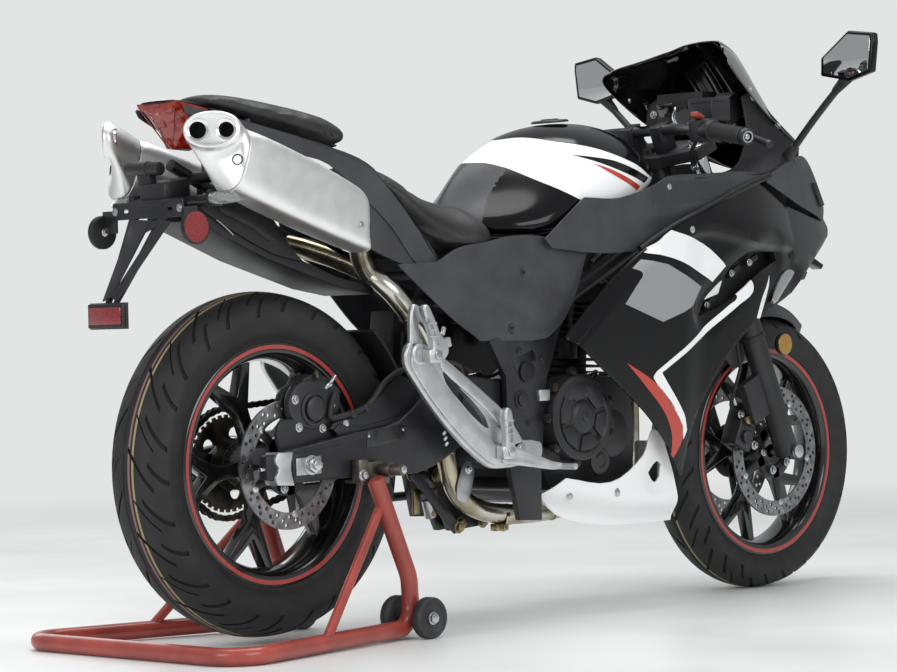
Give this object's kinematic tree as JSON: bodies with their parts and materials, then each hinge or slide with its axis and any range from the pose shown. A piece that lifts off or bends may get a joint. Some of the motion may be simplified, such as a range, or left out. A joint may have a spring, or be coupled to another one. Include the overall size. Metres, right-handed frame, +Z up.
{
  "type": "sport bike on a paddock stand",
  "caption": "Road sport bike with full fairing and underseat twin silencers, held upright on a rear paddock stand; steering, wheels and side stand move.",
  "frame": {"origin": "middle of the bike's overall length and width, on the floor under the tyres", "axes": "+X forwards, +Y to the rider's left, +Z up"},
  "size_m": [2.052, 0.828, 1.156],
  "materials": {
    "black_frame_paint": "satin black paint",
    "engine_black": "satin black heat paint",
    "cast_aluminium": "tumbled casting",
    "bright_steel": "machined",
    "stainless_pipe": "heat-tinted stainless steel",
    "silencer_steel": "satin brushed",
    "chrome_tube": "polished chrome",
    "gloss_black_plastic": "gloss black with white, grey and red fields",
    "white_plastic": "gloss white",
    "grey_plastic": "fine grained dark grey",
    "black_plastic": "fine grained black",
    "tank_paint": "gloss white over black flanks",
    "seat_vinyl": "grained black vinyl",
    "smoked_screen": "gloss, dark smoked",
    "red_lens": "clear red moulded lens",
    "tyre_rubber": "road tyre compound",
    "wheel_paint": "gloss black with a red edge line",
    "disc_steel": "ground",
    "chain_steel": "oiled",
    "grip_rubber": "moulded ribs",
    "caster_rubber": "moulded",
    "hose_rubber": "smooth hose cover",
    "stand_paint": "semi-gloss red paint",
    "bracket_steel": "dull zinc"
  },
  "bodies": {
    "chassis": {"main_frame": "black_frame_paint", "subframe": "black_frame_paint", "swingarm": "black_frame_paint", "rear_axle": "bright_steel", "drive_chain": "chain_steel", "crankcase": "engine_black", "cylinder": "engine_black", "exhaust_pipe": "stainless_pipe", "silencers": "silencer_steel", "side_fairings": "gloss_black_plastic", "upper_panels": "grey_plastic", "belly_pan": "white_plastic", "side_covers": "grey_plastic", "tail_cowl": "gloss_black_plastic", "tail_lamp": "red_lens", "rear_undertray": "black_plastic", "hugger": "black_plastic", "fuel_tank": "tank_paint", "rider_seat": "seat_vinyl", "pillion_seat": "seat_vinyl", "windscreen": "smoked_screen", "nose_cowl": "grey_plastic", "instruments": "black_plastic", "mirrors": "gloss_black_plastic", "footrest_hangers": "cast_aluminium", "footpegs": "cast_aluminium", "foot_levers": "cast_aluminium", "shock_absorber": "black_frame_paint", "rear_caliper": "engine_black", "plate_bracket": "black_frame_paint", "rear_reflectors": "red_lens", "rear_indicators": "black_plastic", "paddock_stand": "stand_paint", "stand_cradles": "bracket_steel"},
    "steering": {"fork_tubes": "chrome_tube", "fork_sliders": "engine_black", "triple_clamps": "engine_black", "handlebars": "black_frame_paint", "grips": "grip_rubber", "hand_levers": "black_frame_paint", "front_fender": "grey_plastic", "front_calipers": "engine_black", "front_axle": "bright_steel", "brake_hoses": "hose_rubber"},
    "front_wheel": {"front_tyre": "tyre_rubber", "front_rim": "wheel_paint", "front_discs": "disc_steel"},
    "rear_wheel": {"rear_tyre": "tyre_rubber", "rear_rim": "wheel_paint", "rear_disc": "disc_steel", "rear_sprocket": "chain_steel"},
    "side_stand": {"side_stand": "black_frame_paint"},
    "stand_casters_left": {"casters_left": "caster_rubber"},
    "stand_casters_right": {"casters_right": "caster_rubber"}
  },
  "joints": [
    {"name": "steering_head", "type": "hinge", "parent": "chassis", "child": "steering", "pos_m": [0.45892, 0, 0.852], "axis": [-0.3987, 0, 0.9171], "range_deg": [-28, 28]},
    {"name": "front_wheel_spin", "type": "hinge", "parent": "steering", "child": "front_wheel", "pos_m": [0.736, 0, 0.29], "axis": [0, 1, 0], "continuous": true},
    {"name": "rear_wheel_spin", "type": "hinge", "parent": "chassis", "child": "rear_wheel", "pos_m": [-0.674, 0, 0.325], "axis": [0, 1, 0], "continuous": true},
    {"name": "side_stand_pivot", "type": "hinge", "parent": "chassis", "child": "side_stand", "pos_m": [-0.108, 0.168, 0.236], "axis": [0, -0.9344, -0.3562], "range_deg": [0, 100]},
    {"name": "left_caster_spin", "type": "hinge", "parent": "chassis", "child": "stand_casters_left", "pos_m": [-0.456, 0.172, 0.038], "axis": [0, 1, 0], "continuous": true},
    {"name": "right_caster_spin", "type": "hinge", "parent": "chassis", "child": "stand_casters_right", "pos_m": [-0.456, -0.172, 0.038], "axis": [0, 1, 0], "continuous": true}
  ]
}
